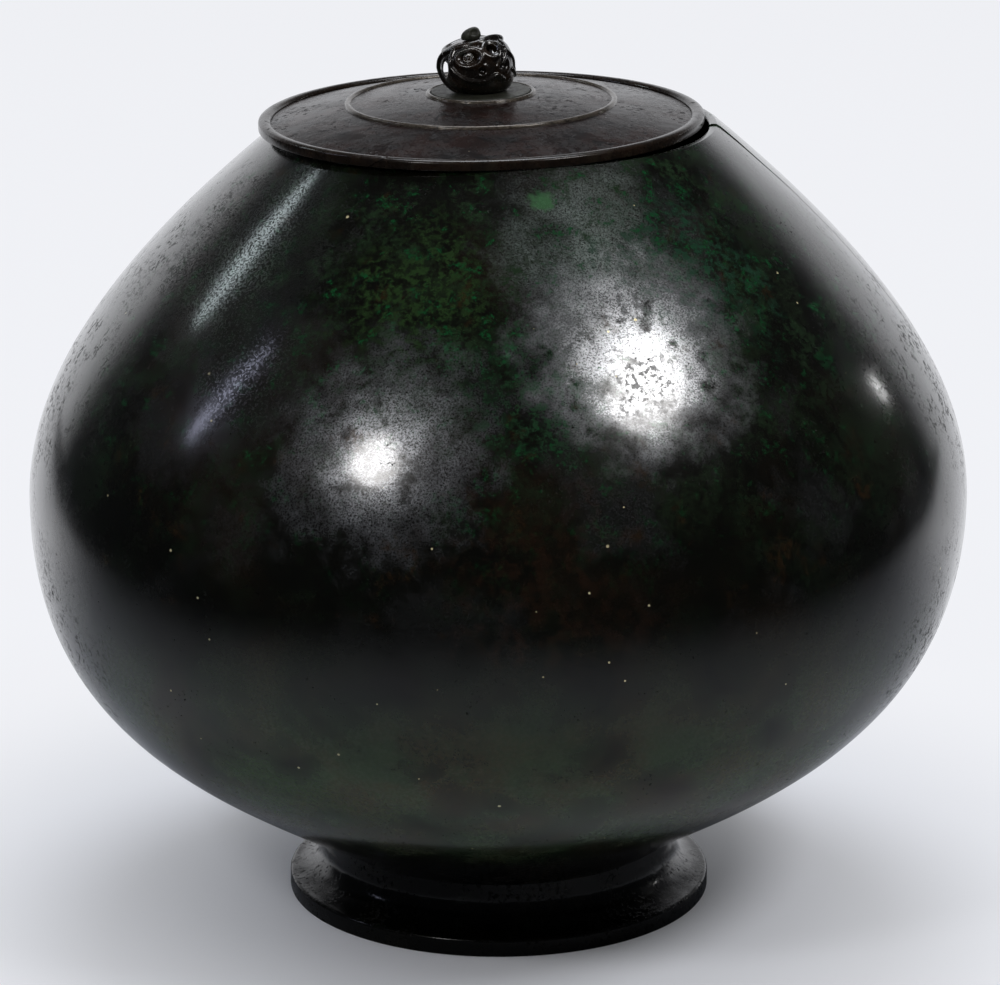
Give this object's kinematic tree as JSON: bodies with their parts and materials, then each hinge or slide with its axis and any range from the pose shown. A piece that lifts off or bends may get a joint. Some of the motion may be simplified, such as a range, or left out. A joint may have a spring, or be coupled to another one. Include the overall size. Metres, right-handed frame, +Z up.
{
  "type": "bronze lidded urn",
  "caption": "Globular dark patinated bronze urn on a flared foot ring, with a lift-off domed lid that has raised rings and a pierced ball knob with a bud.",
  "frame": {"origin": "middle of the foot's rest face, on the surface that the urn stands on", "axes": "+Z up along the vessel's axis, -Y towards the front that the picture shows, +X to the right of that view"},
  "size_m": [0.33, 0.33, 0.3123],
  "materials": {
    "vessel_bronze": "near-black brown-green patina, waxed to a soft gloss, with mottled green and fine pits",
    "foot_bronze": "black patina, waxed",
    "lid_bronze": "brown patina, rubbed, with a fine uneven grain",
    "moulding_bronze": "brown patina, polished where it is handled",
    "knob_bronze": "dark brown patina, glossy from handling",
    "seat_bronze": "grey-green patina, matt",
    "plain_bronze": "plain bronze, dulled"
  },
  "bodies": {
    "vessel": {"vessel_body": "vessel_bronze", "base_plate": "plain_bronze", "foot_ring": "foot_bronze"},
    "lid": {"lid_plate": "lid_bronze", "lid_rim_band": "moulding_bronze", "lid_mid_ring": "moulding_bronze", "lid_seat_ring": "moulding_bronze", "finial_seat": "seat_bronze", "finial_knob": "knob_bronze", "finial_bud": "seat_bronze", "finial_tang": "plain_bronze", "tang_washer": "plain_bronze"}
  },
  "joints": [
    {"name": "lid_lift", "type": "slide", "parent": "vessel", "child": "lid", "axis": [0, 0, 1], "range_m": [0, 0.15]}
  ]
}
